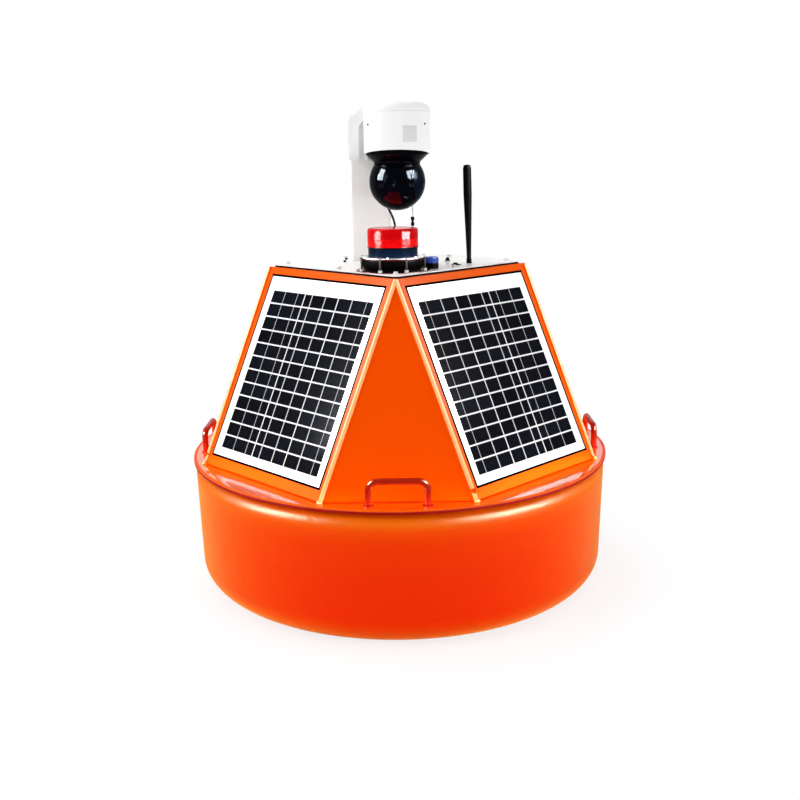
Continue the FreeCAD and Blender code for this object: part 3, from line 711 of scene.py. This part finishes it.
class BUOY_OT_leads(bpy.types.Operator):
    """Make the camera's cable and the thin signal lead beside it"""
    bl_idname = "buoy.leads"
    bl_label = "Leads"

    def execute(self, context):
        sizes = settings().sizes
        cable = lead_curve("camera_cable_sheath", "black_rubber", CABLE_WAY, sizes.cable)
        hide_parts("camera_cable")
        lead = lead_curve("signal_lead_sheath", "light_lead", LEAD_WAY, sizes.lead)
        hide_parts("signal_lead")
        return {"FINISHED"}


# ---- detail pieces ------------------------------------------------------------------------------
class BUOY_OT_float_trim(bpy.types.Operator):
    """Run the joint seal round the float, a dark band over the lip's lower edge as painted shade, and a rim of
    paint round the deck's edge
    """
    bl_idname = "buoy.float_trim"
    bl_label = "Float trim"

    def execute(self, context):
        low, high = heights("deck_plate")
        steps = 160
        # The hoop is the seal under the deck; the band over the lip's lower edge is painted shade.
        seal_and_shade = gather([hoop(0.588, 0.0034, low - 0.0034, 128),
                       band(0.600, 0.6076, low - 0.0008, low + 0.0060, steps)])
        add_piece("deck_joint_seal", "black_seal", seal_and_shade, finish="joint_seal")
        edge = band(0.5985, 0.6073, low + 0.0042, high + 0.0003, steps, 0.0014)
        add_piece("deck_edge", "deck_coat", edge, finish="edge_paint")
        return {"FINISHED"}


class BUOY_OT_cabin_trim(bpy.types.Operator):
    """Add the cabin's foot bead, its corner beads and the small pins beside them"""
    bl_idname = "buoy.cabin_trim"
    bl_label = "Cabin trim"

    def execute(self, context):
        half, out, top_half, bead_r = 0.250, 0.526, 0.257, 0.0060
        turn = Matrix.Rotation(radians(45), 4, "Z")
        corners = [quarter @ turn @ Vector((side * half, -out, DECK))
                   for quarter in QUARTERS for side in (-1, 1)]
        # The foot bead is painted darker as shade in the crease between cabin and deck.
        add_piece("cabin_foot_bead", "cabin_paint", swept(corners, 0.0035), finish="foot_paint")
        rise = heights("cabin_shell")[1] - DECK
        beads = []
        for side in (-1, 1):
            sunk = Vector((side * -0.4, 0.8, -0.3)).normalized() * 0.0008
            low = Vector((side * half, -out, 0.001)) + sunk
            high = Vector((side * top_half, -top_half, rise - 0.001)) + sunk
            foot = low + Vector((0, 0, 0.002))
            for quarter in QUARTERS:
                place = shift(0, 0, DECK) @ quarter @ turn
                beads.append(swept([place @ low, place @ high], bead_r, False))
                beads.append(put(self.foot(), place @ Matrix.Translation(foot)))
        # The corner beads and their feet take the pale bead tone, a painted highlight.
        add_piece("cabin_corner_beads", "cabin_paint", gather(beads), finish="bead_paint")
        pin = stand((0.192, -0.543, DECK + 0.027), (-1, -0.1, 0.15))
        pins = [quarter @ pin for quarter in QUARTERS]
        add_piece("cabin_corner_pins", "cabin_paint", copies(self.pin, pins))
        return {"FINISHED"}

    @staticmethod
    def foot():
        """The rounded end of a bead."""
        radius, sunk = 0.0080, 0.001
        turns = [index * pi / 16 for index in range(9)]
        dome = [(radius * cos(turn), radius * sin(turn)) for turn in turns]
        return revolve([(0, -sunk), *dome], 24)

    @staticmethod
    def pin():
        """A tapered pin standing on its round foot."""
        return revolve([(0, 0), (0.0068, 0), (0.0068, 0.004), (0.0052, 0.008),
                        (0.0018, 0.0165), (0, 0.017)], 20)


class BUOY_OT_panel_trim(bpy.types.Operator):
    """Lay a dark strip of sealant along the upper edge of each solar panel, as painted shadow there"""
    bl_idname = "buoy.panel_trim"
    bl_label = "Panel trim"

    def execute(self, context):
        above, sunk, overhang = 0.0022, 0.003, 0.008
        strips = []
        for face in FACES:
            normal, across, upward, corner, wide, high = sheet_plane("solar_panel_" + face)
            turn = Matrix((across, upward, normal)).transposed().to_4x4()
            middle_top = corner + across * wide / 2 + upward * (high + above) - normal * sunk
            strips.append(Matrix.Translation(middle_top) @ turn)
        # Painted shadow: the strips thicken the dark line along each panel's upper edge, where shade falls.
        strip = copies(slab, strips, wide + overhang, 0.0056, 0.0036, 0.0006, 1)
        add_piece("panel_top_seals", "black_seal", strip)
        return {"FINISHED"}


class BUOY_OT_handle_trim(bpy.types.Operator):
    """Weld the four lifting handles to their pads"""
    bl_idname = "buoy.handle_trim"
    bl_label = "Handle trim"

    def execute(self, context):
        leg_x, leg_y = 0.0735, -0.569
        for quarter, side in zip(QUARTERS, SIDES):
            legs = [quarter @ shift(x, leg_y, DECK + 0.002) for x in (-leg_x, leg_x)]
            welds = copies(hoop, legs, 0.0088, 0.0018, 0.0, 24, 8)
            add_piece("handle_weld_" + side, "handle_paint", welds)
        return {"FINISHED"}


class BUOY_OT_plate_trim(bpy.types.Operator):
    """Bolt the top plate down and add its vent plug and clip"""
    bl_idname = "buoy.plate_trim"
    bl_label = "Top plate trim"

    def execute(self, context):
        corner, side = (0, -0.312), (0.156, -0.156)
        places = [quarter @ stand((*place, PLATE))
                  for quarter in QUARTERS for place in (corner, side)]
        bolts = copies(hex_bolt, places, 0.007)
        add_piece("top_plate_bolts", "stainless", bolts, finish="light_lead")
        plug = gather([puck(0.0075, 0, 0.003, 24), puck(0.0048, 0.002, 0.0095, 24, 0.001)])
        add_piece("vent_plug", "black_plastic", put(plug, stand((0.146, 0.020, PLATE))))
        tongue = put(slab(0.010, 0.009, 0.006), shift(0.002, 0, 0))
        clip = put(gather([slab(0.026, 0.009, 0.0025), tongue]),
                   stand((0.165, -0.100, PLATE), UP, radians(-35)))
        add_piece("lead_clip", "black_plastic", clip)
        return {"FINISHED"}


class BUOY_OT_mast_trim(bpy.types.Operator):
    """Finish the mast: foot weld and bolts, end cap and rear cover"""
    bl_idname = "buoy.mast_trim"
    bl_label = "Mast trim"

    def execute(self, context):
        low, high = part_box("mast")
        centre = middle("mast")
        half_w, half_d = 0.055, 0.030
        foot = PLATE + 0.005
        weld = put(weld_round(half_w, half_d), shift(centre.x, centre.y, foot))
        add_piece("mast_foot_weld", "mast_paint", weld)
        in_x, in_y = 0.011, 0.013
        bolts = [stand((x, y, foot)) for x in (low.x + in_x, high.x - in_x)
                 for y in (low.y + in_y, high.y - in_y)]
        add_piece("mast_foot_bolts", "black_plastic", copies(socket_screw, bolts, 0.0050))
        cap = put(slab(0.113, 0.063, 0.005, 0.0016, 3),
                  shift(centre.x, centre.y, high.z - 0.001))
        add_piece("mast_end_cap", "camera_white", cap)
        face = stand((centre.x, centre.y + half_d, PLATE + 0.11), (0, 1, 0))
        add_piece("mast_cover", "mast_paint", put(slab(0.064, 0.104, 0.002, 0.0007), face))
        screws = [face @ shift(x, y, 0.0015)
                  for x in (-0.026, 0.026) for y in (-0.046, 0.046)]
        add_piece("mast_cover_screws", "stainless", copies(socket_screw, screws, 0.003))
        return {"FINISHED"}


class BUOY_OT_housing_trim(bpy.types.Operator):
    """Add the camera housing's seam, rolled rim, screws, blank pad and top ring"""
    bl_idname = "buoy.housing_trim"
    bl_label = "Camera housing trim"

    def execute(self, context):
        radius, screw = 0.0875, 0.003
        top = heights("camera_housing")[1]
        axis = shift(PAN.x, PAN.y)
        seam = band(radius - 0.001, radius + 0.00035, top - 0.0250, top - 0.0238, 96, 0.0002)
        add_piece("housing_seam", "light_lead", put(seam, axis))
        add_piece("housing_rim_bead", "camera_white", swept(self.rim(radius - 0.0015), 0.0019))
        pad = arc_pad(radius, PLATE + 0.326, PLATE + 0.366, -79, 26, 0.0007)
        add_piece("housing_blank_pad", "light_lead", put(pad, axis))
        screws = outward((PAN.x, PAN.y), radius - 0.0005, (-147, -33, 88), PLATE + 0.371)
        screws = copies(socket_screw, screws, screw)
        add_piece("housing_screws", "stainless", screws, finish="dull_steel")
        top_screws = orbit((0, 0), 0.040, (30, 150, 270), top - 0.001)
        ring = gather([band(0.0500, 0.0514, top - 0.0004, top + 0.0006, 64, 0.0002),
                       *[put(socket_screw(screw), place) for place in top_screws]])
        add_piece("housing_top_ring", "camera_white", put(ring, axis))
        return {"FINISHED"}

    @staticmethod
    def rim(radius, steps=96):
        """Points round the housing's slanted lower rim, which is higher at the front."""
        slope, middle_z = 0.1175, PLATE + 0.2985
        turns = [2 * pi * index / steps for index in range(steps)]
        return [Vector((PAN.x + radius * cos(turn), PAN.y + radius * sin(turn),
                        middle_z - radius * sin(turn) * slope)) for turn in turns]


class BUOY_OT_head_trim(bpy.types.Operator):
    """Cap the camera's cheeks over the trunnions and ring its lens"""
    bl_idname = "buoy.head_trim"
    bl_label = "Camera head trim"

    def execute(self, context):
        caps = copies(self.cheek_cap, [stand(PAN, ACROSS * side) for side in (-1, 1)])
        add_piece("cheek_caps", "lantern_grey", caps, "camera_pan")
        lens = gather([hoop(0.0160, 0.0005, 0.0733, 48, 8), hoop(0.0120, 0.0004, 0.0741, 48, 8)])
        add_piece("lens_rings", "lantern_grey", put(lens, stand(PAN, AHEAD)), "camera_tilt")
        return {"FINISHED"}

    @staticmethod
    def cheek_cap():
        """A cap as round as the ball, bored for the trunnion's end."""
        ball_r, start, bore_r, bore_end, screw = 0.0755, 0.0590, 0.0096, 0.0645, 0.004
        turns = [index * pi / 47.16 for index in range(10)]
        arc = [(ball_r * sin(turn), ball_r * cos(turn)) for turn in turns]
        last = (ball_r ** 2 - start ** 2) ** 0.5
        cap = revolve([*arc, (last, start), (bore_r, start), (bore_r, bore_end), (0, bore_end)], 48)
        return gather([cap, put(socket_screw(screw), shift(0, 0, ball_r - 0.003))])


class BUOY_OT_lantern_trim(bpy.types.Operator):
    """Add the lantern's ribs, seals, screws and standing studs, and the socket cap's grip"""
    bl_idname = "buoy.lantern_trim"
    bl_label = "Lantern trim"

    def execute(self, context):
        centre = middle("lantern_base")
        axis = shift(centre.x, centre.y)
        self.lens_trim(axis)
        low, high = heights("lantern_flange")
        # The wide dark ring on the plate round the lantern's foot is painted shade; the narrow band darkens the
        # flange's side.
        dark_bands = [band(0.0705, 0.0985, PLATE, PLATE + 0.0013, 96),
                   band(0.0868, 0.0886, low, high - 0.0012, 96)]
        add_piece("lantern_gaskets", "black_seal", put(gather(dark_bands), axis), finish="gasket")
        screws = copies(socket_screw, orbit(centre, 0.077, range(20, 380, 60), high), 0.0030)
        add_piece("flange_screws", "stainless", screws, finish="light_lead")
        places = orbit(centre, 0.0895, [23.4 + 45 * index for index in range(8)], PLATE)
        add_piece("lantern_studs", "stainless", copies(self.stud, places), finish="dull_steel")
        nuts = copies(prism, places, 6, 0.0056, 0.0, 0.0075, 0.0007)
        add_piece("lantern_stud_nuts", "stainless", nuts, finish="light_lead")
        self.cap_trim()
        return {"FINISHED"}

    @staticmethod
    def lens_trim(axis):
        radius, inner, rib_pitch = 0.067, 0.060, 0.0075
        low = heights("lantern_lens")[0]
        rib_heights = [low + 0.006 + rib_pitch * index for index in range(5)]
        ribs = [hoop(radius - 0.0004, 0.0008, height, 72, 8) for height in rib_heights]
        add_piece("lens_ribs", "lantern_red", put(gather(ribs), axis))
        seals = [band(inner, radius + 0.0006, low - 0.0016, low + 0.0010, 72),
                 band(inner, 0.0662, low - 0.0248, low - 0.0228, 72)]
        add_piece("lantern_seals", "black_rubber", put(gather(seals), axis))

    @staticmethod
    def cap_trim():
        cap = middle("socket_cap")
        low, high = heights("socket_cap")
        places = orbit(cap, 0.0188, range(0, 360, 12), low + 0.0015)
        grip = copies(slab, places, 0.0016, 0.0018, 0.011, 0.0004, 1)
        add_piece("socket_cap_grip", "cap_blue", grip)
        rim = put(hoop(0.0125, 0.0008, high, 40, 8), shift(cap.x, cap.y))
        add_piece("socket_cap_ring", "cap_blue", rim)

    @staticmethod
    def stud():
        """A thin rod with a small nut near its end."""
        return gather([puck(0.0024, 0.005, 0.0375, 16, 0.0005),
                       prism(6, 0.0040, 0.0335, 0.0360, 0.0005)])


class BUOY_OT_aerial_trim(bpy.types.Operator):
    """Add the antenna's ferrule and tip and the glands' ridged nuts"""
    bl_idname = "buoy.aerial_trim"
    bl_label = "Antenna and gland trim"

    def execute(self, context):
        foot = middle("antenna_base")
        angle = radians(1.5)
        lean = stand((foot.x, foot.y, PLATE), (-sin(angle), 0, cos(angle)))
        rings = [hoop(radius, 0.0008, height, 32, 8)
                 for radius, height in ((0.0061, 0.0185), (0.0062, 0.0220), (0.0063, 0.0255))]
        collar = gather([puck(0.0070, 0.0118, 0.0145, 24), *rings])
        add_piece("antenna_ferrule", "black_plastic", put(collar, lean))
        tip = revolve([(0, 0.2615), (0.0106, 0.2615), (0.0094, 0.2645),
                       (0.0060, 0.2661), (0, 0.2665)], 32)
        add_piece("antenna_tip", "black_plastic", put(tip, lean))
        low, high = (Vector(CABLE_WAY[end]) / 1000 for end in (-1, 0))
        nut_r, turns = 0.0068, range(0, 360, 24)
        places = orbit(low, nut_r, turns, PLATE + 0.0085)
        places += orbit(high, nut_r, turns, PLATE + high.z + 0.0020)
        ridges = copies(slab, places, 0.0012, 0.0011, 0.006, 0.0003, 1)
        add_piece("gland_ridges", "black_plastic", ridges)
        return {"FINISHED"}


class BUOY_OT_underside_trim(bpy.types.Operator):
    """Weld the mooring eyes, bolt their plate and finish the sonde's guard and probes"""
    bl_idname = "buoy.underside_trim"
    bl_label = "Underside trim"

    def execute(self, context):
        plate = heights("mooring_plate")[0]
        eyes = [Matrix.Rotation(radians(angle), 4, "Z") @ shift(0.215, 0, plate)
                for angle in (90, 210, 330)]
        add_piece("eye_welds", "stainless", copies(weld_round, eyes, 0.035, 0.007))
        bolts = orbit((0, 0), 0.264, range(15, 375, 30), plate, (0, 0, -1))
        add_piece("mooring_plate_bolts", "stainless", copies(hex_bolt, bolts, 0.008))
        low, high = heights("sonde_guard")
        inner, outer = 0.0481, 0.0494
        bands = [band(inner, outer, low + 0.004, low + 0.010),
                 band(inner, outer, high - 0.012, high - 0.005)]
        add_piece("guard_bands", "stainless", gather(bands))
        tips = orbit((0, 0), 0.025, range(0, 360, 72), heights("sonde_probes")[0])
        add_piece("probe_tips", "light_lead", copies(self.tip, tips))
        end = heights("well_tube")[0]
        add_piece("well_end_bead", "stainless", hoop(0.1085, 0.0024, end + 0.0006, 96, 8))
        return {"FINISHED"}

    @staticmethod
    def tip():
        """A probe's face and the two rings round its body."""
        return gather([puck(0.0055, -0.0025, 0.0005, 24, 0.0008),
                       puck(0.0093, 0.010, 0.014, 24), puck(0.0093, 0.030, 0.0335, 24)])


# ---- camera and studio --------------------------------------------------------------------------
class BUOY_OT_view(bpy.types.Operator):
    """Stand the camera in front of the buoy, a little above its top plate"""
    bl_idname = "buoy.view"
    bl_label = "View"

    def execute(self, context):
        data = bpy.data.cameras.new("view")
        data.sensor_width, data.lens = 36.0, 44.72
        data.shift_x, data.shift_y = 0.0005, 0.0512
        data.clip_start, data.clip_end = 0.05, 60.0
        view = bpy.data.objects.new("view", data)
        away, above = 2.878, DECK + 0.815
        around, down, roll = radians(0.59), radians(15.7), radians(-0.9)
        place = Matrix.Rotation(around, 4, "Z") @ shift(0, -away, above)
        aim = Matrix.Rotation(pi / 2 - down, 4, "X") @ Matrix.Rotation(roll, 4, "Z")
        view.matrix_world = place @ aim
        context.scene.collection.objects.link(view)
        context.scene.camera = view
        return {"FINISHED"}


def ground_white():
    """Pale floor: it holds the shadow near the buoy and runs out to plain white further off."""
    finish = Finish("floor white", (0.95, 0.95, 0.95), 0.9, 0.0)
    away = finish.node("ShaderNodeVectorMath", {"operation": "LENGTH"}, {0: finish.place}, "Value")
    far = finish.smooth_step(away, 0.50, 0.95, 0.78, 1.0)
    white = finish.node("ShaderNodeEmission", None, {"Color": (1, 1, 1), "Strength": 1.0})
    finish.blend(far * finish.seen(), Value(finish, finish.shader.outputs[0]), white,
                 finish.tree.nodes["Material Output"])
    return finish.material


def area_light(name, place, target, size, power):
    data = bpy.data.lights.new(name, "AREA")
    data.shape = "RECTANGLE"
    data.size, data.size_y = size
    data.energy = power
    lamp = bpy.data.objects.new(name, data)
    lamp.location = place
    lamp.rotation_euler = (Vector(target) - Vector(place)).to_track_quat("-Z", "Y").to_euler()
    bpy.context.scene.collection.objects.link(lamp)
    return lamp


def soft_box(name, place, size, power, target=(0, 0, 0.6)):
    """A bright panel that shows only in gloss."""
    lamp = area_light(name, place, target, size, power)
    lamp.visible_diffuse = lamp.visible_camera = False
    return lamp


class BUOY_OT_stage(bpy.types.Operator):
    """Lay the pale floor and set the soft studio lights"""
    bl_idname = "buoy.stage"
    bl_label = "Stage"

    def execute(self, context):
        shape = bmesh.new()
        bmesh.ops.create_grid(shape, x_segments=1, y_segments=1, size=14.0)
        mesh = bpy.data.meshes.new("floor")
        shape.to_mesh(mesh)
        shape.free()
        mesh.materials.append(ground_white())
        floor = bpy.data.objects.new("floor", mesh)
        context.scene.collection.objects.link(floor)
        area_light("light left", (-3.3, -2.2, 2.9), (0, 0, 0.7), (1.6, 1.2), 68)
        area_light("light right", (2.3, -1.3, 0.6), (0, 0, 0.3), (1.2, 0.6), 26)
        area_light("light top", (-1.1, 0.7, 4.3), (0, 0, 0.4), (2.2, 1.6), 76)
        area_light("light low left", (-2.3, -0.9, 0.6), (0, 0, 0.3), (1.2, 0.6), 8)
        for index, step in enumerate((-0.36, 0.0, 0.36), 1):
            left = (-2.08 + 0.3 * step, -0.65 - 0.95 * step, 2.03)
            right = (1.95 - 0.84 * step, -0.91 - 1.3 * step, 2.06)
            soft_box("window left %d" % index, left, (0.30, 1.5), 850)
            soft_box("window right %d" % index, right, (0.45, 1.1), 1000)
        above = middle("lantern_lens") + Vector((-0.02, 0, 0.04))
        glow = soft_box("lens glint", above, (0.11, 0.11), 1.0, above + Vector((0, 0, 1)))
        glow.data.color = (1.0, 0.02, 0.015)
        self.light_world(context)
        context.scene.view_settings.view_transform = "Standard"
        return {"FINISHED"}

    @staticmethod
    def light_world(context):
        """White where it is seen, grey where it lights."""
        world = bpy.data.worlds.new("studio")
        world.use_nodes = True
        nodes = Nodes(world.node_tree)
        nodes.tree.nodes.clear()
        grey, white = (nodes.node("ShaderNodeBackground", None, {"Color": (tone, tone, tone)})
                       for tone in (0.50, 1.0))
        nodes.blend(nodes.seen(), grey, white, nodes.tree.nodes.new("ShaderNodeOutputWorld"))
        context.scene.world = world


# ---- finishes on the frame ----------------------------------------------------------------------
class BUOY_OT_dress(bpy.types.Operator):
    """Give every node of the frame its finish"""
    bl_idname = "buoy.dress"
    bl_label = "Finishes"

    def execute(self, context):
        for part in frame["record"]["subparts"]:
            if part["material_slot"] in FINISHES:
                dress(part["node"], material(part["material_slot"]))
        for face in FACES:
            dress("solar_cells_" + face, cell_finish(face, face.endswith("right")))
        return {"FINISHED"}


OPERATORS = (BUOY_OT_view, BUOY_OT_leads, BUOY_OT_stage, BUOY_OT_dress, BUOY_OT_float_trim,
             BUOY_OT_cabin_trim, BUOY_OT_panel_trim, BUOY_OT_handle_trim, BUOY_OT_plate_trim,
             BUOY_OT_mast_trim, BUOY_OT_housing_trim, BUOY_OT_head_trim, BUOY_OT_lantern_trim,
             BUOY_OT_aerial_trim, BUOY_OT_underside_trim)


class BUOY_PT_panel(bpy.types.Panel):
    """The buoy's settings and makers"""
    bl_idname = "BUOY_PT_panel"
    bl_label = "Monitoring buoy"
    bl_space_type = "VIEW_3D"
    bl_region_type = "UI"
    bl_category = "Buoy"

    def draw(self, context):
        for group in (settings().colours, settings().sizes):
            for name in group.__annotations__:
                self.layout.prop(group, name)
        for maker in OPERATORS:
            self.layout.operator(maker.bl_idname)


CLASSES = (BuoyColours, BuoySizes, BuoySettings, *OPERATORS, BUOY_PT_panel)


def register():
    for kind in CLASSES:
        bpy.utils.register_class(kind)
    bpy.types.Scene.buoy = bpy.props.PointerProperty(type=BuoySettings)


def unregister():
    del bpy.types.Scene.buoy
    for kind in reversed(CLASSES):
        bpy.utils.unregister_class(kind)


def main():
    register()
    for maker in OPERATORS:
        category, name = maker.bl_idname.split(".")
        getattr(getattr(bpy.ops, category), name)()


if __name__ == "__main__":
    main()
